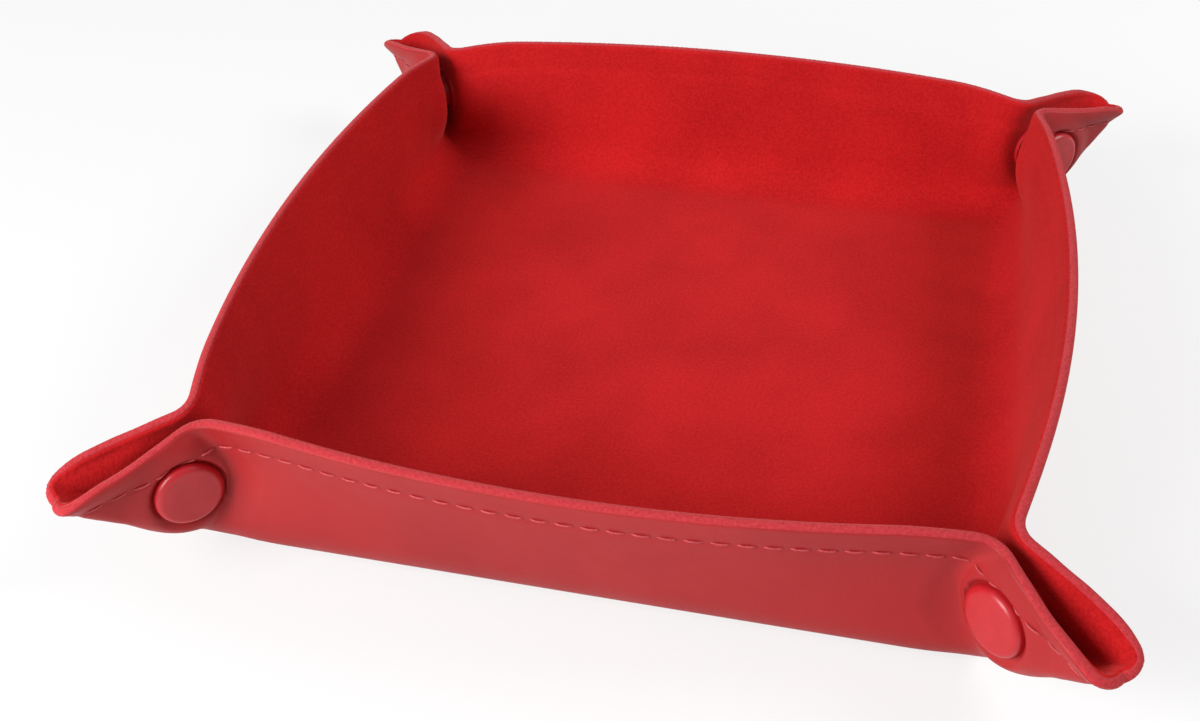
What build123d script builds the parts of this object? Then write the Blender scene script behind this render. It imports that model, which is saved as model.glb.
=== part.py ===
from build123d import *
from math import cos, pi, radians, sin, sqrt
import os

# Snap-corner dice tray: a square two-layer sheet, smooth leather cloth outside and
# velvet inside, pinched at its four corners by plastic snaps so that it stands as a
# shallow bowl. Millimetres, +Z up, origin at the centre of the underside.
# Right is +X, back is +Y, left is -X and front is -Y.

# The sheet as it was cut and sewn
sheet_side = 200.0          # edge to edge, laid flat
corner_radius = 14.0        # rounding of its four corners
leather_thickness = 1.2
velvet_thickness = 1.0

# How it stands when the four corners are snapped
hinge_from_centre = 69.5    # the walls fold from this line of the sheet
bend_inside = 9.5           # the flat middle ends this far inside that line
bend_outside = 9.0          # and the walls are straight from this far outside it
wall_slope = 77.0           # slope of the walls, degrees
wall_bow = 9.6              # how far the rim stands further out at the middle of a wall
bow_height = 0.8            # share of a wall's height over which its bow grows
spine_slope = 37.5          # rise of the fold along an ear's underside, degrees
gather = 3.0                # sheet taken up in gathers where the fold lines meet

# Cuts that let the halves move
fold_gap = 0.30             # between panels that fold
vertex_relief = 3.0         # radius of the clearing where the fold lines meet
rest_press = 0.05           # the underside is worn flat this deep

# Snaps
snap_from_edge = 12.4       # snap centre from its own edge of the sheet
snap_from_corner = 27.6     # snap centre from the neighbouring edge
snap_gap = 2.85             # from the ear's middle plane to the sheet at the snap
cap_diameter = 12.4
cap_height = 1.9
cap_edge = 0.7
post_diameter = 2.2
post_length = 2.95
flange_diameter = 11.0
flange_thickness = 0.85
stud_diameter = 4.2
stud_length = 1.8
stud_round = 0.84           # rounding of its nose
ring_diameter = 7.4
ring_height = 1.6
fit_gap = 0.05              # round the post
stud_gap = 0.3              # round the stud in the socket's mouth

# Seam
seam_from_edge = 5.5
stitch_length = 3.1
stitch_pitch = 4.2
stitch_width = 0.55
stitch_proud = 0.15         # thread above each face of the sheet

# What follows from the sizes above
half = sheet_side / 2
rest_flat = hinge_from_centre - bend_inside
bend_end = hinge_from_centre + bend_outside
seam_u = half - seam_from_edge
snap_u = half - snap_from_edge
snap_v = half - snap_from_corner
steps = 160                 # pieces a curve is added up from
dish_count = 49             # rows and columns of points the middle's surface goes through
wall_levels = 19            # and those of a wall's surface
wall_columns = 15
past_end = 6.0              # a wall's surface is made this much too long and then cut
crease_tries = 20           # times the place of the crease is worked out again, nearer each time
corner_ease = 30.0          # rounding of the middle's levels at its centre
sheet_thickness = leather_thickness + velvet_thickness
layers = (("leather", leather_thickness, 1), ("velvet", velvet_thickness, -1))
sides = ["right", "back", "left", "front"]
os.makedirs("parts", exist_ok=True)


def ease(t):
    """0 up to t = 0, 1 from t = 1, an S curve between."""
    t = min(1.0, max(0.0, t))
    return t * t * (3 - 2 * t)


def slope_at(distance):
    """Slope of the sheet at a distance from its centre, in radians."""
    return radians(wall_slope) * ease((distance - rest_flat) / (bend_end - rest_flat))


def section(distance):
    """The middle section of the sheet: x and z at a distance from the centre, along it."""
    x = z = 0.0
    step = distance / steps
    for i in range(steps):
        slope = slope_at((i + 0.5) * step)
        x += step * cos(slope)
        z += step * sin(slope)
    return x, z + leather_thickness - rest_press


hinge_x, hinge_z = section(hinge_from_centre)

# The point where two fold lines meet the ear's fold, on the underside
apex = hinge_x + leather_thickness * sin(slope_at(hinge_from_centre))
apex_z = hinge_z - leather_thickness * cos(slope_at(hinge_from_centre))
relief_spots = [(apex * i, apex * j, hinge_z) for i in (-1, 1) for j in (-1, 1)]


def wall_point(u, v):
    """A point of the right wall, u up the sheet from its centre and v along the wall. The
    wall's ends stand further in than its middle, most at the rim."""
    x, z = section(u)
    share = (u - hinge_from_centre) / (half - hinge_from_centre)
    return x - wall_bow * ease(share / bow_height) * (v / snap_v) ** 2, v, z


def dish_height(x, y):
    """Height of the middle of the sheet: its section, on rounded squares that grow square
    towards the fold lines."""
    a, b = abs(x), abs(y)
    soft = corner_ease * max(0.0, 1 - max(a, b) / hinge_x)
    level = (a + b + sqrt((a - b) ** 2 + soft * soft) - soft) / 2
    return section(level * hinge_from_centre / hinge_x)[1]


def spread(first, last, count):
    """Evenly spaced numbers from first to last."""
    return [first + (last - first) * i / (count - 1) for i in range(count)]


def write(part, name):
    """Label a finished piece and write its file."""
    part.label = name
    export_step(part, "parts/" + name + ".step")
    print(name, len(part.solids()), "solids", round(part.volume, 1), "mm3")


# The middle of the sheet, a shallow dish that rests on its flat
rim_of_dish = section(hinge_from_centre - fold_gap / 2)[0]
dish_rows = [
    [Vector(x, y, dish_height(x, y)) for y in spread(-rim_of_dish, rim_of_dish, dish_count)]
    for x in spread(-rim_of_dish, rim_of_dish, dish_count)
]
dish = Face.make_surface_from_array_of_points(dish_rows, tol=0.01, max_deg=5)
for kind, thickness, side in layers:
    with BuildPart() as base:
        thicken(dish, amount=thickness, normal_override=(0, 0, -side))
        with Locations(*relief_spots):
            Sphere(vertex_relief, mode=Mode.SUBTRACT)
        with BuildSketch():
            Rectangle(sheet_side, sheet_side)
        extrude(amount=-sheet_thickness, mode=Mode.SUBTRACT)
    write(base.part, kind + "_base")


# The middle plane of the back right ear: x out along the corner's diagonal, y up
middle_plane = Plane(origin=(0, 0, 0), x_dir=(1, 1, 0), z_dir=(1, -1, 0))
fold_start = (apex * sqrt(2), apex_z)
fold_along = (cos(radians(spine_slope)), sin(radians(spine_slope)))
fold_radius = snap_gap + leather_thickness


def ear_view(u, v):
    """Where the ear's side carries the point (u, v) of the flat sheet, in its middle plane.
    The sheet rounds the fold by a quarter turn and then stands straight up from it."""
    along = (u + v - 2 * hinge_from_centre) / sqrt(2) - gather
    up = (u - v) / sqrt(2) - snap_gap * pi / 2 + fold_radius
    x = fold_start[0] + along * fold_along[0] - up * fold_along[1]
    return x, fold_start[1] + along * fold_along[1] + up * fold_along[0]


def crease_view(u):
    """Where the wall's sheet meets the ear's side at the level u, in the middle plane."""
    y = section(u)[0] - snap_gap * sqrt(2)
    for attempt in range(crease_tries):
        x, y, z = wall_point(u, y)
        y = x - snap_gap * sqrt(2)
    return (x + y) / sqrt(2), z


crease_points = [fold_start, crease_view((hinge_from_centre + half) / 2), crease_view(half)]
crease_top = crease_points[2]
wall_end = (crease_top[0] - snap_gap) / sqrt(2)
far = sheet_side


def beside_crease(shift, outer):
    """The wall's side or the ear's side of the crease, as a solid across the whole ear."""
    moved = [(x + shift, z) for x, z in crease_points]
    reach = far if outer else -far
    with BuildPart() as block:
        with BuildSketch(middle_plane):
            with BuildLine():
                ThreePointArc(*moved)
                Polyline(moved[2], (moved[2][0], far), (reach, far), (reach, -far), (moved[0][0], -far), moved[0])
            make_face()
        extrude(amount=far, both=outer)
    return block.part


with BuildPart() as wall_cut:
    add(beside_crease(-fold_gap / 2, True))
    with BuildSketch(middle_plane.offset(fold_gap / 2)):
        Rectangle(2 * far, 2 * far)
    extrude(amount=-far)
ear_cut = beside_crease(fold_gap / 2, False)

# What lies outside the ear's rim and the rounding of the sheet's corner
rim_top = ear_view(half, half - corner_radius)
tip_u = half - corner_radius * (1 - 1 / sqrt(2))
mid_turn = radians(22.5)
rim_mid = ear_view(half - corner_radius * (1 - cos(mid_turn)), half - corner_radius * (1 - sin(mid_turn)))
rim_tip = ear_view(tip_u, tip_u)
with BuildPart() as trimming:
    with BuildSketch(middle_plane):
        with BuildLine():
            Line(crease_top, rim_top)
            ThreePointArc(rim_top, rim_mid, rim_tip)
            Polyline(rim_tip, (rim_tip[0], -far), (far, -far), (far, far), (crease_top[0], far), crease_top)
        make_face()
    extrude(amount=far)

# The snap's place in the ear's side, with its z out of the leather side
snap_view = ear_view(snap_u, snap_v)
snap_plane = middle_plane.shift_origin(middle_plane.from_local_coords(Vector(*snap_view, 0))).offset(snap_gap)
leather_face = snap_plane.offset(leather_thickness)
velvet_face = snap_plane.offset(-velvet_thickness)


def thread_at(frames):
    """One block of thread at each plane, right through the sheet and proud of both faces."""
    middle = (leather_thickness - velvet_thickness) / 2
    height = sheet_thickness + 2 * stitch_proud
    with BuildPart() as thread:
        with Locations(*[plane.offset(middle) for plane in frames]):
            Box(stitch_length, stitch_width, height)
    return thread.part


def wall_stitch(v):
    """The plane of a stitch on the wall, x along the seam and z out of the leather side."""
    along = Vector(*wall_point(seam_u, v + 0.5)) - Vector(*wall_point(seam_u, v - 0.5))
    up = Vector(*wall_point(seam_u + 0.5, v)) - Vector(*wall_point(seam_u - 0.5, v))
    return Plane(origin=wall_point(seam_u, v), x_dir=along, z_dir=along.cross(up))


def ear_stitch(along):
    """The plane of a stitch on the ear, a distance along the seam from the wall's middle."""
    round_radius = corner_radius - seam_from_edge
    straight = half - corner_radius
    angle = max(0.0, (along - straight) / round_radius)
    u = straight + round_radius * cos(angle)
    v = min(along, straight) + round_radius * sin(angle)
    here = Vector(*ear_view(u, v))
    ahead = Vector(*ear_view(u - 0.5 * sin(angle), v + 0.5 * cos(angle))) - here
    x_dir = middle_plane.x_dir * ahead.X + middle_plane.y_dir * ahead.Y
    origin = middle_plane.from_local_coords(here) + middle_plane.z_dir * snap_gap
    return Plane(origin=origin, x_dir=x_dir, z_dir=middle_plane.z_dir)


def mirrored(part):
    """The same piece on the other half of its wall."""
    return part.mirror(Plane.XZ)


pieces = {}

# Stitching: along the right wall from end to end, and along the ear until it rounds the fold
stitch_count = int(2 * (wall_end - stitch_pitch) / stitch_pitch)
first = -stitch_pitch * (stitch_count - 1) / 2
wall_thread = thread_at([wall_stitch(first + i * stitch_pitch) for i in range(stitch_count)])
past_crease = crease_view(seam_u)[0] - ear_view(seam_u, snap_v)[0]
ear_seam_start = snap_v + past_crease * sqrt(2) / (fold_along[0] + fold_along[1]) + stitch_pitch
ear_seam_end = seam_u - snap_gap * pi / sqrt(2) - stitch_length / 2
ear_count = int((ear_seam_end - ear_seam_start) / stitch_pitch) + 1
pieces["stitching_wall"] = wall_thread
pieces["stitching_ear"] = thread_at(
    [ear_stitch(ear_seam_start + i * stitch_pitch) for i in range(ear_count)]
)

# The right wall's two layers
wall_rows = [
    [Vector(*wall_point(u, v)) for v in spread(-wall_end - past_end, wall_end + past_end, wall_columns)]
    for u in spread(hinge_from_centre + fold_gap / 2, half, wall_levels)
]
wall_face = Face.make_surface_from_array_of_points(wall_rows, tol=0.005, max_deg=5)
for kind, thickness, way in layers:
    with BuildPart() as wall:
        thicken(wall_face, amount=thickness, normal_override=(way, 0, -way))
        add(wall_cut.part, mode=Mode.SUBTRACT)
        add(mirrored(wall_cut.part), mode=Mode.SUBTRACT)
        with Locations(*relief_spots):
            Sphere(vertex_relief, mode=Mode.SUBTRACT)
        add(wall_thread, mode=Mode.SUBTRACT)
    pieces[kind + "_wall"] = wall.part

# The ear's two layers, each a strip that rounds the fold and stands up beside it
fold_plane = Plane(
    origin=(apex, apex, apex_z),
    x_dir=(1, -1, 0),
    z_dir=middle_plane.x_dir * -fold_along[0] - middle_plane.y_dir * fold_along[1],
)
fold_length = (tip_u - hinge_from_centre) * sqrt(2)
for kind, inner, outer in (
    ("leather", snap_gap, fold_radius),
    ("velvet", snap_gap - velvet_thickness, snap_gap),
):
    with BuildPart() as ear:
        with BuildSketch(fold_plane):
            with Locations((0, fold_radius)):
                Circle(outer)
                Circle(inner, mode=Mode.SUBTRACT)
                Rectangle(outer, outer, align=(Align.MAX, Align.MIN), mode=Mode.SUBTRACT)
                Rectangle(outer, outer, align=(Align.MIN, Align.MIN), mode=Mode.SUBTRACT)
            with Locations((inner, fold_radius)):
                Rectangle(outer - inner, half, align=(Align.MIN, Align.MIN))
            with Locations((fold_gap / 2, 0)):
                Rectangle(2 * fold_radius, far, align=(Align.MAX, Align.MIN), mode=Mode.SUBTRACT)
        extrude(amount=-fold_length - corner_radius)
        add(ear_cut, mode=Mode.SUBTRACT)
        add(trimming.part, mode=Mode.SUBTRACT)
        with Locations(*relief_spots):
            Sphere(vertex_relief, mode=Mode.SUBTRACT)
        add(pieces["stitching_ear"], mode=Mode.SUBTRACT)
        with BuildSketch(snap_plane):
            Circle(post_diameter / 2 + fit_gap)
        extrude(amount=sheet_thickness, both=True, mode=Mode.SUBTRACT)
        with BuildSketch(velvet_face):
            Circle(flange_diameter / 2 + fit_gap)
        extrude(amount=velvet_thickness - snap_gap, mode=Mode.SUBTRACT)
    pieces[kind + "_ear"] = ear.part

# Snap cap: a low dome on a post that goes through the sheet
with BuildPart() as cap:
    with BuildSketch(leather_face):
        Circle(cap_diameter / 2)
    extrude(amount=cap_height)
    fillet(cap.faces().sort_by(Axis((0, 0, 0), snap_plane.z_dir))[-1].edges(), radius=cap_height - cap_edge)
    with BuildSketch(leather_face):
        Circle(post_diameter / 2)
    extrude(amount=-post_length)
pieces["snap_cap"] = cap.part

# Stud: a flange with a round-nosed post in its middle, hollow for the cap's post
with BuildPart() as stud:
    with BuildSketch(velvet_face):
        Circle(flange_diameter / 2)
    extrude(amount=-flange_thickness)
    with BuildSketch(velvet_face.offset(-flange_thickness)):
        Circle(stud_diameter / 2)
    extrude(amount=-stud_length)
    fillet(stud.faces().sort_by(Axis((0, 0, 0), snap_plane.z_dir))[0].edges(), radius=stud_round)
    with BuildSketch(velvet_face):
        Circle(post_diameter / 2 + fit_gap)
    extrude(amount=leather_thickness + velvet_thickness - post_length - fit_gap, mode=Mode.SUBTRACT)
pieces["snap_stud"] = stud.part

# Socket: a flange with a raised ring that the stud's post goes into
with BuildPart() as socket:
    with BuildSketch(velvet_face):
        Circle(flange_diameter / 2)
    extrude(amount=-flange_thickness)
    with BuildSketch(velvet_face.offset(-flange_thickness)):
        Circle(ring_diameter / 2)
        Circle(stud_diameter / 2 + stud_gap, mode=Mode.SUBTRACT)
    extrude(amount=-ring_height)
    with BuildSketch(velvet_face):
        Circle(post_diameter / 2 + fit_gap)
    extrude(amount=leather_thickness + velvet_thickness - post_length - fit_gap, mode=Mode.SUBTRACT)
pieces["snap_socket"] = socket.part

# Each wall, its two ears and their snap halves, from the right wall's
for turn, side in enumerate(sides):
    for kind in ("leather", "velvet", "stitching"):
        write(pieces[kind + "_wall"].rotate(Axis.Z, 90 * turn), kind + "_wall_" + side)
    ends = (sides[(turn + 1) % 4], sides[(turn + 3) % 4])
    fastener = "snap_stud" if side in ("right", "left") else "snap_socket"
    for end in ends:
        for kind in ("leather_ear", "velvet_ear", "stitching_ear", "snap_cap", fastener):
            piece = pieces[kind] if end == ends[0] else mirrored(pieces[kind])
            write(piece.rotate(Axis.Z, 90 * turn), kind + "_" + side + "_" + end)
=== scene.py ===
"""A square dice tray of smooth leather cloth lined with velvet. Its four corners are pinched
by plastic snaps. It stands on a white floor under a pale sky and two soft lamps."""

import bpy
import numpy as np
from mathutils import Matrix


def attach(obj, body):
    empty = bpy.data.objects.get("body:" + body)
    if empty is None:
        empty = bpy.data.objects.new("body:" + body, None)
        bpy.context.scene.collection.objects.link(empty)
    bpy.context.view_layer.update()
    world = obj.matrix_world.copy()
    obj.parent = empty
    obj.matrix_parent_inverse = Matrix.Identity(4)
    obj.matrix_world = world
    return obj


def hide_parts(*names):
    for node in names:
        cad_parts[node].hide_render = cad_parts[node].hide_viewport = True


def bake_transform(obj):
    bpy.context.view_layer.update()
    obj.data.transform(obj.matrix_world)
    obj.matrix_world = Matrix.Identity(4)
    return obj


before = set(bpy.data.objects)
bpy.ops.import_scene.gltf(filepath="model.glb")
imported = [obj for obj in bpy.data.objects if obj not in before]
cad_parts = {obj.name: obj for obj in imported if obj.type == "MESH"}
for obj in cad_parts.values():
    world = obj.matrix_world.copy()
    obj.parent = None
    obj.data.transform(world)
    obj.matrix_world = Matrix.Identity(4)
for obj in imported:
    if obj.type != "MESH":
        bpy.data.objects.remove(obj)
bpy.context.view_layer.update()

# Sizes of the sheet, in millimetres, as in the part's source
HALF = 100.0            # half the side of the cut sheet
FLAT = 60.0             # the middle lies flat out to here
BEND_END = 78.5         # and the walls are straight from here
HINGE = 69.5            # the walls fold from this line
FOLD = HINGE / HALF     # its row, as a share of the way to the edge
WALL_SLOPE = np.radians(77)     # slope of the straight wall
SPINE = np.radians(37.5)        # slope of the fold along the ear's underside
LEATHER, VELVET = 1.2, 1.0      # thicknesses
PRESS = 0.05                    # the underside is worn flat this deep
CORNER = 14.0                   # rounding of the sheet's corners
SEAM = 5.5                      # stitch line from the edge
PITCH, STITCH = 4.2, 3.1        # from one stitch to the next, and the length of one
SNAP_GAP = 2.85                 # sheet from the ear's middle plane at the snap
SNAP_U = 87.6                   # level of the snap
SNAP_R, SNAP_Z = 101.74, 18.04  # its place, outwards along the diagonal and up
APEX = np.array([69.735, 69.735, 2.640])                # where a corner's folds meet
CREASE = np.array([-0.051885, -0.122563, 0.991104])     # the way from there up the crease

# How the sheet is bent and pinched, in millimetres
DISH_SOFTNESS = 30.0                # how blunt the bowl's squares are at its middle
WALL_BOW = np.radians(13)           # a wall turns inwards by this on its way to the ear
EAR_SPLAY = np.radians(13)          # an ear's halves part by this above the snap
CREASE_RADIUS = 9.0                 # radius of the turn from the wall to the ear
LOOP_LOW, LOOP_HIGH = 3.4, 4.6      # half width of an ear's loop below and above the snap
LOOP_ARC = 1.653                    # length of its quarter turn, for a half width of one
BOW_GROWN = 0.8                     # share of the wall's height at which the bow is full
LOOP_GROWN = 0.6                    # the same for the loop
CREASE_GROWN = 0.25                 # and for the turn's radius
PINCH, PINCH_FADE = 5.5, 6.5        # the snap holds this far up and down, then less
SEAT, SEAT_FADE = 6.4, 6.0          # and presses this far round its middle, then less
LEAST_WALL = 0.3                    # the wall takes this share of a level line or more
FALL_START = 0.8                    # a line falls from this share of its wall onwards
HALVINGS = 34                       # which find how long the wall is on each line
CORNER_PASSES = 160                 # times the points near the apex are averaged
CORNER_NEAR, CORNER_FADE = 3.0, 7.0     # in full as near as this to it, then less
TINY = 0.01                         # keeps a length above nothing

# How the layers are finished, in millimetres: for each its thickness, the depth and width
# of the groove along the seam, and the depth and width of the rounding at the cut edge
FINISH = {"leather": (LEATHER, 0.16, 0.8, 0.35, 0.5), "velvet": (VELVET, 0.12, 1.2, 0.55, 0.9)}
WAY = {"leather": -1, "velvet": 1}  # side of the middle surface on which each lies
HIDDEN = 0.03                       # a layer's hidden face from the middle surface
PAD_HEIGHT = 1.0                    # swelling of the leather round a cap
PAD_RISE_FROM, PAD_RISE = 6.2, 1.1  # it rises from this distance over this width
PAD_FALL_FROM, PAD_FALL = 7.3, 4.5  # and falls in the same way
RIM_TOP, RIM_WIDTH = 0.62, 1.68     # the cut edge's upper side, and its width from there down
RIM_BULGE, RIM_ROOT = 0.34, 0.35    # how far it stands out, and how far it reaches in
RIM_TURN = 0.95                     # share from which it turns into the middle plane
THREAD = 0.19                       # radius of the thread
STITCH_TOP = {"leather": LEATHER + 0.02, "velvet": VELVET - 0.5}    # height of a stitch's middle
STITCH_DIVE = 0.30                  # and how far its ends lie below that
ON_DIAGONAL = 0.9999                # shares above this lie on the diagonal
PLANE_GAP = 0.02                    # the other points stay this far from its plane

# Where the rows pass from the wall pieces to the ear pieces, out along the ear from the crease; the
# second number is not used
BLEND_FROM, BLEND_TO = -1.0, 3.5

# Numbers of points and stitches
LEVELS, SHARES = 560, 321
MIDDLE_COLUMNS, WALL_COLUMNS, EAR_COLUMNS = 41, 161, 46
WALL_RIM, EAR_RIM, ROUND_RIM = 701, 221, 9
WALL_STITCHES, EAR_STITCHES = 31, 6
ALONG_THREAD, ROUND_THREAD = 7, 6

SIDES = ("right", "back", "left", "front")
SQ2 = np.sqrt(2.0)
OUT_EAR = np.array([1 / SQ2, 1 / SQ2, 0])       # out along the ear, square to the crease
OUT_EAR = OUT_EAR - CREASE * (OUT_EAR @ CREASE)
OUT_EAR = OUT_EAR / np.linalg.norm(OUT_EAR)


def ease(t):
    """0 up to t = 0, 1 from t = 1, an S curve between."""
    t = np.clip(t, 0, 1)
    return t * t * (3 - 2 * t)


def unit(v):
    """Vectors brought to length one."""
    return v / (np.linalg.norm(v, axis=-1, keepdims=True) + 1e-12)


# The middle section of the sheet: its slope grows by an S curve from the flat to the wall,
# and x and z are the running sums of its cosine and sine
_run = np.linspace(0, HALF, 4001)
_slope = WALL_SLOPE * ease((_run - FLAT) / (BEND_END - FLAT))
_step = _run[1]
_across = np.r_[0, np.cumsum((np.cos(_slope[1:]) + np.cos(_slope[:-1])) / 2) * _step]
_height = np.r_[0, np.cumsum((np.sin(_slope[1:]) + np.sin(_slope[:-1])) / 2) * _step]


def section_x(u):
    """How far out the section lies at level u, by its running sum."""
    return np.interp(u, _run, _across)


def section_z(u):
    """Its height there, over the leather that lies under it."""
    return np.interp(u, _run, _height) + LEATHER - PRESS


HX, HZ = section_x(HINGE), section_z(HINGE)


def dish_rows(levels, shares):
    """The middle of the sheet: height of the section at the level of a rounded square, where
    the squares grow sharper towards the fold lines."""
    x = section_x(levels)[:, None] + 0 * shares
    y = x * shares
    soft = DISH_SOFTNESS * np.maximum(0, 1 - x / HX)
    level = (x + y + np.sqrt((x - y) ** 2 + soft * soft) - soft) / 2
    return x, y, section_z(level * HINGE / HX)


def corner_rows(levels, count):
    """Level lines of the wall and its ear. A line's heading starts along the wall, bows in,
    turns outward through the crease to run along the ear, from which the two halves part a
    little towards the tip, and turns back by a quarter where it rounds the fold to meet its
    mirror image. How far the wall runs before the crease is found by halving, so that the
    line ends on the diagonal."""
    u = levels[:, None]
    share = (u - HINGE) / (HALF - HINGE)
    pinch = 1 - ease((np.abs(u - SNAP_U) - PINCH) / PINCH_FADE)
    wide = SNAP_GAP * pinch + np.where(u < SNAP_U, LOOP_LOW, LOOP_HIGH) * (1 - pinch)
    loop_run = (ease(share / LOOP_GROWN) * wide + TINY) * LOOP_ARC
    bow = WALL_BOW * ease(share / BOW_GROWN)
    turn = np.pi / 4 + bow
    turn_run = turn * CREASE_RADIUS * np.minimum(1, share / CREASE_GROWN) + TINY
    splay = EAR_SPLAY * (1 - pinch) * (u > SNAP_U)
    v = u * np.linspace(0, 1, count)
    mid = (v[:, 1:] + v[:, :-1]) / 2
    step = u / (count - 1)
    low, high, drop = LEAST_WALL * u, u + 0, 0 * u
    for halving in range(HALVINGS):
        wall = (low + high) / 2
        past = mid - wall
        ear_run = np.maximum(u - loop_run - wall - turn_run, 1)
        heading = (np.pi / 2 + bow * np.minimum(1, mid / wall)
                   - (turn + splay) * ease(past / turn_run)
                   + splay * ease((past - turn_run) / ear_run)
                   + np.pi / 2 * ease((mid - u + loop_run) / loop_run))
        start = FALL_START * wall
        fall = drop * np.diff(ease((v - start) / (u - start)), axis=1)
        run = np.sqrt(np.maximum(0, step**2 - fall**2))
        x = section_x(u) + np.cumsum(run * np.cos(heading), 1)
        y = np.cumsum(run * np.sin(heading), 1)
        beyond = x[:, -1:] > y[:, -1:]
        low, high = np.where(beyond, wall, low), np.where(beyond, high, wall)
        reach = (x[:, -1:] + y[:, -1:] - 2 * HX) / SQ2
        drop = section_z(u) - HZ - reach * np.tan(SPINE)
    x = np.hstack([section_x(u), x])
    y = np.hstack([0 * u, y])
    z = np.hstack([section_z(u), section_z(u) - np.cumsum(fall, 1)])
    return x, y, z


def press_snaps(x, y, z):
    """Round the snap the ear's side is drawn into the plane that the snap holds, a quarter
    round of SNAP_GAP at the fold and straight above it."""
    d, r = (x - y) / SQ2, (x + y) / SQ2
    above = (z - HZ) * np.cos(SPINE) - (r - HX * SQ2) * np.sin(SPINE)
    low = np.clip(SNAP_GAP - above, 0, SNAP_GAP)
    held = np.sqrt(SNAP_GAP**2 - low**2)
    near = 1 - ease((np.hypot(r - SNAP_R, z - SNAP_Z) - SEAT) / SEAT_FADE)
    shift = (held - d) * near / SQ2
    return x + shift, y - shift, z


def round_corner(place, u, t):
    """Rounds the bowl's corner where the fold lines meet: the mean of each point and its
    neighbours, taken over and over, with the mirror image beyond the diagonal."""
    soft = place.copy()
    for each in range(CORNER_PASSES):
        beyond = soft[:, -2][:, [1, 0, 2]]
        wide = np.concatenate([soft[:, :1], soft, beyond[:, None]], 1)
        soft = (wide[:, :-2] + 2 * wide[:, 1:-1] + wide[:, 2:]) / 4
        soft[1:-1] = (soft[:-2] + 2 * soft[1:-1] + soft[2:]) / 4
    apart = np.hypot(u[:, None] - HINGE, u[:, None] * t[None] - HINGE)
    near = (1 - ease((apart - CORNER_NEAR) / CORNER_FADE))[..., None]
    return place * (1 - near) + soft * near


class Sheet:
    """The middle surface of one eighth, from a wall's middle to the diagonal, as a table of
    level u and share t = v / u, with the normal that points to the velvet."""

    def __init__(self):
        self.u = np.linspace(1.0, HALF, LEVELS)
        self.t = np.linspace(0, 1, SHARES)
        low = self.u < HINGE
        parts = [dish_rows(self.u[low], self.t[None]), corner_rows(self.u[~low], SHARES)]
        parts[1] = press_snaps(*parts[1])
        place = np.stack([np.vstack(p) for p in zip(*parts)], -1)
        place = round_corner(place, self.u, self.t)
        along_u = np.gradient(place, self.u, axis=0)
        along_t = np.gradient(place, self.t, axis=1)
        normal = np.cross(along_u, along_t)
        # the mirror images on both sides give the normals on the wall's middle and the diagonal
        normal[:, 0, 1] = 0
        normal[:, -1, :2] = normal[:, -1, :2].mean(-1, keepdims=True)
        self.place = place
        self.normal = unit(normal)

    def sample(self, table, u, t):
        """Straight interpolation of a table at levels u and shares t."""
        i = np.clip((u - self.u[0]) / (self.u[1] - self.u[0]), 0, len(self.u) - 1.001)
        j = np.clip(t * (len(self.t) - 1), 0, len(self.t) - 1.001)
        a, b = i.astype(int), j.astype(int)
        p, q = (i - a)[..., None], (j - b)[..., None]
        return ((table[a, b] * (1 - q) + table[a, b + 1] * q) * (1 - p)
                + (table[a + 1, b] * (1 - q) + table[a + 1, b + 1] * q) * p)

    def at(self, u, t):
        """Place and normal at level u and signed share t of the right wall's quarter. The
        other half is the mirror image in y."""
        side = np.where(t < 0, -1.0, 1.0)
        flip = np.stack([0 * side + 1, side, 0 * side + 1], -1)
        place, normal = (self.sample(table, u, np.abs(t)) * flip for table in (self.place, self.normal))
        return place, unit(normal)


sheet = Sheet()


def edge_level(t):
    """Level at which the line of share t meets the outline, a square with rounded corners."""
    t = np.abs(t)
    straight = HALF - CORNER
    b = straight * (1 + t)
    rounded = (b + np.sqrt(b * b - (1 + t * t) * (2 * straight**2 - CORNER**2))) / (1 + t * t)
    return np.where(t * HALF <= straight, HALF, rounded)


def level_of(s, t):
    """Level at row s of 0 to 1, which bends down at the rounded corners above the fold."""
    return HALF * s - (HALF - edge_level(t)) * np.clip((s - FOLD) / (1 - FOLD), 0, 1) ** 2


def edge_distance(u, t):
    """Distance from the outline, in the flat sheet."""
    v, straight = np.abs(t) * u, HALF - CORNER
    return np.where(v > straight, CORNER - np.hypot(u - straight, v - straight), HALF - u)


def turned(points, quarter):
    """Points or directions turned about the upright axis by a number of quarter turns."""
    c, s = ((1, 0), (0, 1), (-1, 0), (0, -1))[quarter]
    return points @ np.array([[c, s, 0], [-s, c, 0], [0, 0, 1.0]])


def crease_share(rows):
    """Share at which each row crosses from the wall to the ear, where the distance from the
    crease's axis, out along the ear, passes BLEND_FROM. It is 1 up to the apex, and above
    that always past the first share looked at."""
    t = np.linspace(0.4, 1, 601)
    place, normal = sheet.at(level_of(rows[:, None], t[None]), t[None] + 0 * rows[:, None])
    ahead = (place - APEX) @ OUT_EAR - BLEND_FROM
    k = np.clip(np.argmax(ahead > 0, axis=1), 1, len(t) - 1)
    i = np.arange(len(rows))
    a, b = ahead[i, k - 1], ahead[i, k]
    share = t[k - 1] - a / np.where(b > a, b - a, 1) * (t[1] - t[0])
    return np.where((rows > FOLD) & (ahead[:, -1] > 0), share, 1.0)


# Rows up the sheet, closer together at the rim, where its edge rounds over
MIDDLE_ROW = FLAT / HALF
LOW_ROWS = np.linspace(MIDDLE_ROW, FOLD, 20)
RIM_ROWS = np.array([0.9865, 0.990, 0.993, 0.9955, 0.9972, 0.9985, 0.9994, 1.0])
HIGH_ROWS = np.r_[np.linspace(FOLD, 0.983, 58), RIM_ROWS]
WALL_ROWS = np.r_[LOW_ROWS, HIGH_ROWS[1:]]


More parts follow.
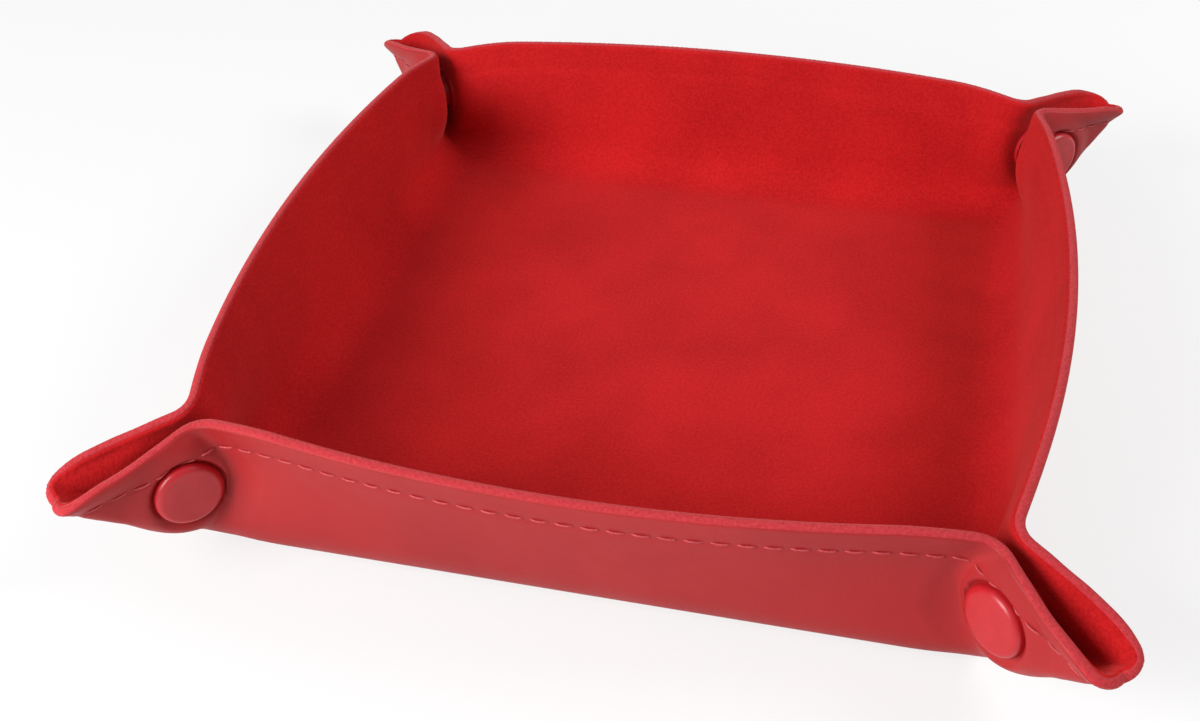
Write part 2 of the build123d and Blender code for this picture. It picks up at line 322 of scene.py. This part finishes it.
def layer_depth(kind, u, t):
    """Distance of a layer's visible face from the middle surface: its thickness, less a bell
    curve's groove along the stitch line and a round at the cut edge."""
    thickness, groove, groove_width, wear, wear_width = FINISH[kind]
    edge = edge_distance(u, t)
    in_groove = np.exp(-((edge - SEAM) / groove_width) ** 2)
    at_edge = 1 - np.sqrt(1 - (1 - np.clip(edge / wear_width, 0, 1)) ** 2)
    return thickness - groove * in_groove - wear * at_edge


def padding(place, kind):
    """Swelling of the leather in a ring round the cap, which sinks into it: an S curve up
    and another down, by the distance from the snap."""
    if kind != "leather":
        return 0
    r = (place[..., 0] + np.abs(place[..., 1])) / SQ2
    ring = np.hypot(r - SNAP_R, place[..., 2] - SNAP_Z)
    rise, fall = ease((ring - PAD_RISE_FROM) / PAD_RISE), ease((ring - PAD_FALL_FROM) / PAD_FALL)
    return PAD_HEIGHT * rise * (1 - fall)


def new_mesh(name, points, faces, material, normals=None):
    """A mesh from points in millimetres and quads, with normals at its points."""
    mesh = bpy.data.meshes.new(name)
    mesh.from_pydata((points / 1000).tolist(), [], faces.tolist())
    mesh.shade_smooth()
    if normals is not None:
        mesh.normals_split_custom_set_from_vertices(normals.tolist())
    mesh.materials.append(material)
    piece = bpy.data.objects.new(name, mesh)
    bpy.context.scene.collection.objects.link(piece)
    return piece


def grid_faces(rows, columns, start, flip):
    """Quads of a grid of points numbered row by row from start."""
    i = np.arange(rows - 1)[:, None] * columns + np.arange(columns - 1)[None] + start
    quads = np.stack([i, i + columns, i + columns + 1, i + 1], -1).reshape(-1, 4)
    return quads[:, ::-1] if flip else quads


def shell(name, outer, inner, material, flip, normal=None):
    """A closed slab between two grids of the same size: both faces and the strip round them.
    The outer face's normals, where they are given, are also those of its border."""
    rows, columns = outer.shape[:2]
    count = rows * columns
    index = np.arange(count).reshape(rows, columns)
    border = np.r_[index[0, :-1], index[:-1, -1], index[-1, :0:-1], index[:0:-1, 0]]
    after = np.roll(border, -1)
    strip = np.stack([border, after, after + count, border + count], -1)
    faces = np.vstack([grid_faces(rows, columns, 0, flip),
                       grid_faces(rows, columns, count, not flip),
                       strip[:, ::-1] if flip else strip])
    points = np.concatenate([outer.reshape(-1, 3), inner.reshape(-1, 3)])
    if normal is not None:
        normal = np.concatenate([normal.reshape(-1, 3), -normal.reshape(-1, 3)])
    return new_mesh(name, points, faces, material, normal)


def layer_face(kind, u, t):
    """The visible face of a layer at level u and signed share t."""
    place, normal = sheet.at(u, t)
    depth = layer_depth(kind, u, t) + padding(place, kind)
    return place + normal * (WAY[kind] * depth)[..., None]


def across_corner(t):
    """The direction square to the middle plane of the corner that share t lies towards."""
    return np.stack([1 + 0 * t, -np.sign(t), 0 * t], -1) / SQ2


def without(v, direction, share):
    """Vectors less a share of their part along a direction."""
    return v - direction * (v * direction).sum(-1, keepdims=True) * share


def keep_side(grid, t):
    """Keeps each half of a corner on its own side of the middle plane, and its last points
    in that plane: what lies beyond is moved back, square to the plane."""
    over = np.abs(grid[..., 1]) - grid[..., 0]
    over = np.where(np.abs(t) < ON_DIAGONAL, np.maximum(over + PLANE_GAP, 0), over)
    grid[..., 0] += over / 2
    grid[..., 1] -= np.where(t < 0, -1.0, 1.0) * over / 2


def half_shell(kind, rows, shares, quarter, name, material):
    """One layer of a wall or an ear, on a grid of rows and signed shares. Its normals are the
    cross products of the steps a little way up and along the sheet. On the diagonal they lie
    in the corner's middle plane."""
    s, t = np.broadcast_arrays(rows[:, None], shares)
    u = level_of(s, t)
    place, inward = sheet.at(u, t)
    face, back = layer_face(kind, u, t), place + inward * WAY[kind] * HIDDEN
    up, beside = 0.2, 0.003
    rise = layer_face(kind, np.minimum(u + up, HALF), t) - layer_face(kind, u - up, t)
    along = (layer_face(kind, u, np.minimum(t + beside, 1))
             - layer_face(kind, u, np.maximum(t - beside, -1)))
    normal = unit(np.cross(rise, along) * WAY[kind])
    normal = without(normal, across_corner(t), (np.abs(t) >= ON_DIAGONAL)[..., None])
    for grid in (face, back):
        keep_side(grid, t)
        grid[..., 2] = np.maximum(grid[..., 2], 0.0)
    return shell(name, turned(face, quarter), turned(back, quarter), material,
                 kind == "leather", turned(normal, quarter))


def rim_strip(shares, quarter, name, material):
    """The cut edge of both layers: a rounded band carried along the outline, from the
    velvet's side over to the leather's. Its backing fibres stand out unevenly, by three sine
    waves 0.4 to 1.7 mm long. Towards the diagonal it turns into the corner's middle plane."""
    t = shares[:, None]
    turn = np.linspace(0, 1, ROUND_RIM)[None]
    u = edge_level(t)
    place, normal = sheet.at(u + 0 * turn, t + 0 * turn)
    along = np.abs(t) * u
    fray = (0.06 * np.sin(along * 9.1 + turn * 7) * np.sin(along * 3.7 + 1.3)
            + 0.04 * np.sin(along * 15.3 + turn * 11))
    close = ease((np.abs(t) - RIM_TURN) / (1 - RIM_TURN))[..., None]
    out = without(outline_out(t), across_corner(t), close)
    normal = without(normal, across_corner(t), close)
    across = RIM_TOP - RIM_WIDTH * turn
    bulge = (RIM_BULGE + fray) * np.sin(np.pi * turn) ** 0.6
    bead = place + normal * across[..., None] + out * bulge[..., None]
    inside = place + normal * (across * 0.9)[..., None] - out * RIM_ROOT
    for grid in (bead, inside):
        keep_side(grid, t + 0 * turn)
    return shell(name, turned(bead, quarter), turned(inside, quarter), material, True)


def outline_out(t):
    """The direction that leaves the sheet square to its outline, lying in the sheet: the
    cross product of a short step along the outline and the sheet's normal."""
    step = 0.004
    before, after = (sheet.at(edge_level(s), s)[0]
                     for s in (np.clip(t - step, -1, 1), np.clip(t + step, -1, 1)))
    return unit(np.cross(after - before, sheet.at(edge_level(t), t)[1]))


def seam_point(along):
    """Level and share of the point on the seam at a distance along it from the wall's middle."""
    straight, radius = HALF - CORNER, CORNER - SEAM
    size = np.abs(along)
    angle = np.clip((size - straight) / radius, 0, np.pi / 4)
    u = straight + radius * np.cos(angle)
    v = np.minimum(size, straight) + radius * np.sin(angle)
    return u, np.sign(along) * v / u


def stitching(centres, quarter, name, material):
    """Each stitch is a ring of points carried along a short line over the seam, which rises
    out of the sheet and dives back with the cube of the distance from its middle. It is
    there once on the leather and once in the velvet, where the pile hides it."""
    k = np.linspace(0, 1, ALONG_THREAD)
    turn = np.linspace(0, 2 * np.pi, ROUND_THREAD + 1)[:-1, None]
    points = []
    for kind, way in WAY.items():
        u, t = seam_point(centres[:, None] + (k - 0.5)[None] * STITCH)
        place, normal = sheet.at(u, t)
        rise = STITCH_TOP[kind] - STITCH_DIVE * np.abs(2 * k - 1)[None] ** 3 + padding(place, kind)
        line = place + normal * (way * rise)[..., None]
        ahead = unit(np.gradient(line, axis=1))
        beside = unit(np.cross(ahead, normal))
        over = np.cross(beside, ahead)
        ring = beside[..., None, :] * np.cos(turn) + over[..., None, :] * np.sin(turn)
        points.append(line[..., None, :] + THREAD * ring)
    count = ALONG_THREAD * ROUND_THREAD
    last = count - ROUND_THREAD
    points = np.concatenate(points).reshape(-1, 3)
    first = np.arange(ALONG_THREAD - 1)[:, None] * ROUND_THREAD
    i = first + np.arange(ROUND_THREAD)[None]
    j = first + (np.arange(ROUND_THREAD)[None] + 1) % ROUND_THREAD
    quads = np.stack([i, i + ROUND_THREAD, j + ROUND_THREAD, j], -1).reshape(-1, 4)
    ends = np.array([[0, 1, 2, 3], [0, 3, 4, 5], [last + 3, last + 2, last + 1, last],
                     [last + 5, last + 4, last + 3, last]])
    faces = np.vstack([quads, ends])[None] + np.arange(0, len(points), count)[:, None, None]
    return new_mesh(name, turned(points, quarter), faces.reshape(-1, 4), material)


def node(tree, kind, inputs=None, **settings):
    """Adds a shader node with its settings, and its inputs as values or as links."""
    made = tree.nodes.new("ShaderNode" + kind)
    for key, value in settings.items():
        setattr(made, key, value)
    for key, value in (inputs or {}).items():
        if isinstance(value, bpy.types.NodeSocket):
            tree.links.new(value, made.inputs[key])
        else:
            made.inputs[key].default_value = value
    return made


def linear(code):
    """The linear colour of an sRGB hex code."""
    c = np.array([int(code[i:i + 2], 16) for i in (1, 3, 5)]) / 255
    c = np.where(c <= 0.04045, c / 12.92, ((c + 0.055) / 1.055) ** 2.4)
    return (*c.tolist(), 1.0)


def new_material(name):
    """An empty material, its tree, its surface output and its Object coordinates."""
    material = bpy.data.materials.new(name)
    material.use_nodes = True
    tree = material.node_tree
    tree.nodes.clear()
    return material, tree, node(tree, "OutputMaterial"), node(tree, "TexCoord").outputs["Object"]


def two_colours(tree, factor, dark, light):
    """A colour between two hex codes, which changes over a noise's middle values."""
    ramp = node(tree, "ValToRGB", {"Fac": factor})
    for element, level, code in zip(ramp.color_ramp.elements, (0.35, 0.65), (dark, light)):
        element.position = level
        element.color = linear(code)
    return ramp.outputs["Color"]


def per_mm(size):
    """Scale of a texture whose features are this many millimetres across."""
    return 1000.0 / size


# Smooth leather cloth: polyurethane cast on release paper over a woven backing. It gives a
# soft satin face with a very fine pebble and slow changes of tone.
leather, tree, output, place = new_material("coated_leather_cloth")
tone = node(tree, "TexNoise", {"Vector": place, "Scale": per_mm(34), "Detail": 2.0})
grain = node(tree, "TexVoronoi", {"Vector": place, "Scale": per_mm(0.62)}, feature="SMOOTH_F1")
waves = node(tree, "TexNoise", {"Vector": place, "Scale": per_mm(5.0), "Detail": 3.0})
fine = node(tree, "Bump", {"Height": grain.outputs["Distance"], "Strength": 0.10, "Distance": 0.0002})
soft = node(tree, "Bump", {"Height": waves.outputs["Fac"], "Strength": 0.12, "Distance": 0.0012,
                           "Normal": fine.outputs["Normal"]})
rough = node(tree, "MapRange", {"Value": waves.outputs["Fac"], "To Min": 0.42, "To Max": 0.56})
surface = node(tree, "BsdfPrincipled", {
    "Base Color": two_colours(tree, tone.outputs["Fac"], "#9A1E20", "#A62325"),
    "Roughness": rough.outputs["Result"], "Normal": soft.outputs["Normal"],
    "IOR": 1.48, "Specular IOR Level": 0.28})
tree.links.new(surface.outputs[0], output.inputs["Surface"])

# Velvet: polyester pile about a millimetre high, cut and brushed one way. It is deep red
# where the pile points at the eye, paler where it is seen from the side, and lightly
# mottled where hands have turned the nap. Its tufts are drawn a few times coarser than the
# pile's own threads, so that they show.
velvet, tree, output, place = new_material("cut_pile_velvet")
nap = node(tree, "TexNoise", {"Vector": place, "Scale": per_mm(28), "Detail": 3.0, "Roughness": 0.55})
tuft = node(tree, "TexNoise", {"Vector": place, "Scale": per_mm(0.55), "Detail": 2.0})
turned_nap = two_colours(tree, nap.outputs["Fac"], "#AE1518", "#C21C1F")
pile_ends = two_colours(tree, tuft.outputs["Fac"], "#8E0E12", "#D62C2C")
speck = node(tree, "MixRGB", {"Fac": 0.22, "Color1": turned_nap, "Color2": pile_ends})
pile = node(tree, "Bump", {"Height": tuft.outputs["Fac"], "Strength": 0.35, "Distance": 0.0003})
surface = node(tree, "BsdfPrincipled", {
    "Base Color": speck.outputs[0], "Roughness": 0.95, "Normal": pile.outputs["Normal"],
    "Specular IOR Level": 0.1, "Sheen Weight": 0.5, "Sheen Roughness": 0.4,
    "Sheen Tint": linear("#FF7A74")})
tree.links.new(surface.outputs[0], output.inputs["Surface"])

# Cut edge: the woven backing cloth and the cut ends of the pile show as a paler, fuzzy
# band. Its fibres are drawn coarser than they are, so that they show.
cut_edge, tree, output, place = new_material("cut_edge_backing")
fibre = node(tree, "TexNoise", {"Vector": place, "Scale": per_mm(0.5), "Detail": 3.0, "Roughness": 0.7})
fuzz = node(tree, "Bump", {"Height": fibre.outputs["Fac"], "Strength": 0.35, "Distance": 0.0003})
surface = node(tree, "BsdfPrincipled", {
    "Base Color": two_colours(tree, fibre.outputs["Fac"], "#AC2C32", "#C23C42"),
    "Roughness": 0.95, "Normal": fuzz.outputs["Normal"], "Specular IOR Level": 0.1,
    "Sheen Weight": 0.4, "Sheen Roughness": 0.5, "Sheen Tint": linear("#FF9A96")})
tree.links.new(surface.outputs[0], output.inputs["Surface"])

# Sewing thread: twisted polyester, a shade lighter than the leather, with a faint shine
# that breaks up where the plies cross.
thread, tree, output, place = new_material("twisted_polyester_thread")
ply = node(tree, "TexNoise", {"Vector": place, "Scale": per_mm(0.35), "Detail": 1.0})
twist = node(tree, "Bump", {"Height": ply.outputs["Fac"], "Strength": 0.5, "Distance": 0.0002})
surface = node(tree, "BsdfPrincipled", {
    "Base Color": two_colours(tree, ply.outputs["Fac"], "#A83238", "#C2484C"),
    "Roughness": 0.55, "Normal": twist.outputs["Normal"], "Specular IOR Level": 0.4})
tree.links.new(surface.outputs[0], output.inputs["Surface"])

# Snap: acetal, injection moulded in a polished tool. It has a clean semi-gloss face with
# the slightest flow unevenness.
acetal, tree, output, place = new_material("moulded_acetal")
flow = node(tree, "TexNoise", {"Vector": place, "Scale": per_mm(4.0), "Detail": 2.0})
even = node(tree, "Bump", {"Height": flow.outputs["Fac"], "Strength": 0.06, "Distance": 0.0005})
shine = node(tree, "MapRange", {"Value": flow.outputs["Fac"], "To Min": 0.30, "To Max": 0.40})
surface = node(tree, "BsdfPrincipled", {
    "Base Color": two_colours(tree, flow.outputs["Fac"], "#B01820", "#BA1E27"),
    "Roughness": shine.outputs["Result"], "Normal": even.outputs["Normal"], "IOR": 1.48,
    "Specular IOR Level": 0.5})
tree.links.new(surface.outputs[0], output.inputs["Surface"])


def middle(kind, material):
    """The flat middle of one layer: a square grid as far as the walls' first row."""
    x, y = np.meshgrid(*[np.linspace(-FLAT, FLAT, MIDDLE_COLUMNS)] * 2, indexing="ij")
    level = np.stack([x, y, 0 * x + section_z(0)], -1)
    normal = np.array([0, 0, float(WAY[kind])]) + 0 * level
    face, back = level + normal * FINISH[kind][0], level + normal * HIDDEN
    face[..., 2] = np.maximum(face[..., 2], 0.0)
    return shell(kind + "_middle_sheet", face, back, material, kind == "leather", normal)


# The middle of the sheet
layers = {"leather": leather, "velvet": velvet}
for kind, material in layers.items():
    piece = middle(kind, material)
    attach(piece, "base")
    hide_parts(kind + "_base")


def bend_wall(piece):
    """Bakes the piece's placing into its points; the sheet's turn from the middle to the wall is already
    in its shape.
    """
    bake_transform(piece)


def bend_ear(piece, flip):
    """Bakes the piece's placing into its points; the sheet's turn from the wall to the ear is already in
    its shape. The line across the crease worked out here is not used.
    """
    line = APEX + OUT_EAR * np.array([[BLEND_FROM], [BLEND_TO]])
    line[:, 1] *= flip
    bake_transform(piece)


# The walls and ears: where each row crosses the crease, the shares of the columns, and the stitches'
# places along the seam in millimetres
wall_share, ear_share = crease_share(WALL_ROWS), crease_share(HIGH_ROWS)
wall_columns = np.linspace(-1, 1, WALL_COLUMNS)[None] * wall_share[:, None]
ear_columns = ear_share[:, None] + (1 - ear_share[:, None]) * np.linspace(0, 1, EAR_COLUMNS)[None]
wall_stitches = (np.arange(WALL_STITCHES) - WALL_STITCHES // 2) * PITCH
ear_stitches = (WALL_STITCHES // 2 + 1 + np.arange(EAR_STITCHES)) * PITCH

for quarter, side in enumerate(SIDES):
    for kind, material in layers.items():
        piece = half_shell(kind, WALL_ROWS, wall_columns, quarter, kind + "_sheet_wall_" + side, material)
        bend_wall(piece)
        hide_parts(kind + "_wall_" + side)
    seam = stitching(wall_stitches, quarter, "seam_wall_" + side, thread)
    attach(seam, "wall_" + side)
    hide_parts("stitching_wall_" + side)
    rim = rim_strip(np.linspace(-1, 1, WALL_RIM) * wall_share[-1], quarter, "rim_wall_" + side, cut_edge)
    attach(rim, "wall_" + side)
    for end_name, flip in ((SIDES[(quarter + 1) % 4], 1), (SIDES[(quarter + 3) % 4], -1)):
        tag = side + "_" + end_name
        for kind, material in layers.items():
            piece = half_shell(kind, HIGH_ROWS, (ear_columns * flip)[:, ::flip], quarter,
                               kind + "_sheet_ear_" + tag, material)
            bend_ear(piece, flip)
            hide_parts(kind + "_ear_" + tag)
        seam = stitching(ear_stitches * flip, quarter, "seam_ear_" + tag, thread)
        bend_ear(seam, flip)
        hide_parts("stitching_ear_" + tag)
        rim_shares = (np.linspace(ear_share[-1], 1, EAR_RIM) * flip)[::flip]
        rim = rim_strip(rim_shares, quarter, "rim_ear_" + tag, cut_edge)
        bend_ear(rim, flip)

# The snaps are the part's own solids
for name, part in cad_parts.items():
    if name.startswith("snap_"):
        part.data.materials.clear()
        part.data.materials.append(acetal)

# Floor: a plain sheet that the camera sees as nearly white, with the object's shadow kept
FLOOR = 6.0             # half its side, in metres
FLOOR_OWN_LIGHT = 0.72  # share of white in what the camera sees of it
floor_mesh = bpy.data.meshes.new("floor")
floor_corners = [(-FLOOR, -FLOOR, 0), (FLOOR, -FLOOR, 0), (FLOOR, FLOOR, 0), (-FLOOR, FLOOR, 0)]
floor_mesh.from_pydata(floor_corners, [], [(0, 1, 2, 3)])
floor = bpy.data.objects.new("floor", floor_mesh)
bpy.context.scene.collection.objects.link(floor)
paper, tree, output = new_material("matt_white_paper")[:3]
matt = node(tree, "BsdfDiffuse", {"Color": linear("#F2F2F2")})
white = node(tree, "Emission", {"Color": (1, 1, 1, 1), "Strength": 1.0})
ray = node(tree, "LightPath")
seen = node(tree, "Math", {0: ray.outputs["Is Camera Ray"], 1: FLOOR_OWN_LIGHT}, operation="MULTIPLY")
mixed = node(tree, "MixShader", {0: seen.outputs[0], 1: matt.outputs[0], 2: white.outputs[0]})
tree.links.new(mixed.outputs[0], output.inputs["Surface"])
floor_mesh.materials.append(paper)

# World: an even pale sky, brighter where the camera or a reflection sees it
world = bpy.data.worlds.new("studio")
bpy.context.scene.world = world
world.use_nodes = True
tree = world.node_tree
tree.nodes.clear()
ray = node(tree, "LightPath")
seen = node(tree, "Math", {0: ray.outputs["Is Camera Ray"], 1: ray.outputs["Is Glossy Ray"]},
            operation="MAXIMUM")
power = node(tree, "MapRange", {"Value": seen.outputs[0], "To Min": 0.24, "To Max": 0.6})
sky = node(tree, "Background", {"Color": (1, 1, 1, 1), "Strength": power.outputs["Result"]})
tree.links.new(sky.outputs[0], node(tree, "OutputWorld").inputs["Surface"])


def soft_lamp(name, place, target, size, energy):
    """A square soft lamp at a place in metres, turned to a target."""
    lamp = bpy.data.lights.new(name, "AREA")
    lamp.shape, lamp.size, lamp.energy = "SQUARE", size, energy
    made = bpy.data.objects.new(name, lamp)
    bpy.context.scene.collection.objects.link(made)
    back = unit(np.array(place, float) - np.array(target, float))
    side = unit(np.cross([0, 0, 1.0], back))
    turn = Matrix(np.column_stack([side, np.cross(back, side), back]).tolist())
    made.matrix_world = Matrix.Translation(place) @ turn.to_4x4()


soft_lamp("lamp_left", (-0.42, -0.48, 0.37), (0.0, 0.0, 0.02), 0.35, 6.2)
soft_lamp("lamp_right", (0.45, 0.12, 0.42), (0.0, 0.0, 0.0), 0.25, 1.9)

# Camera, at the photograph's place and angle
CAMERA_PLACE = (0.05253, -0.24760, 0.20054)
CAMERA_TURN = Matrix(((0.970638, -0.128321, 0.203459),
                      (0.239118, 0.606684, -0.758127),
                      (-0.026152, 0.784518, 0.619554)))
camera_data = bpy.data.cameras.new("camera")
camera_data.lens, camera_data.sensor_width = 46.175, 36.0
camera_data.clip_start = 0.01
camera = bpy.data.objects.new("camera", camera_data)
bpy.context.scene.collection.objects.link(camera)
camera.matrix_world = Matrix.Translation(CAMERA_PLACE) @ CAMERA_TURN.to_4x4()
bpy.context.scene.camera = camera
bpy.context.scene.view_settings.view_transform = "Standard"
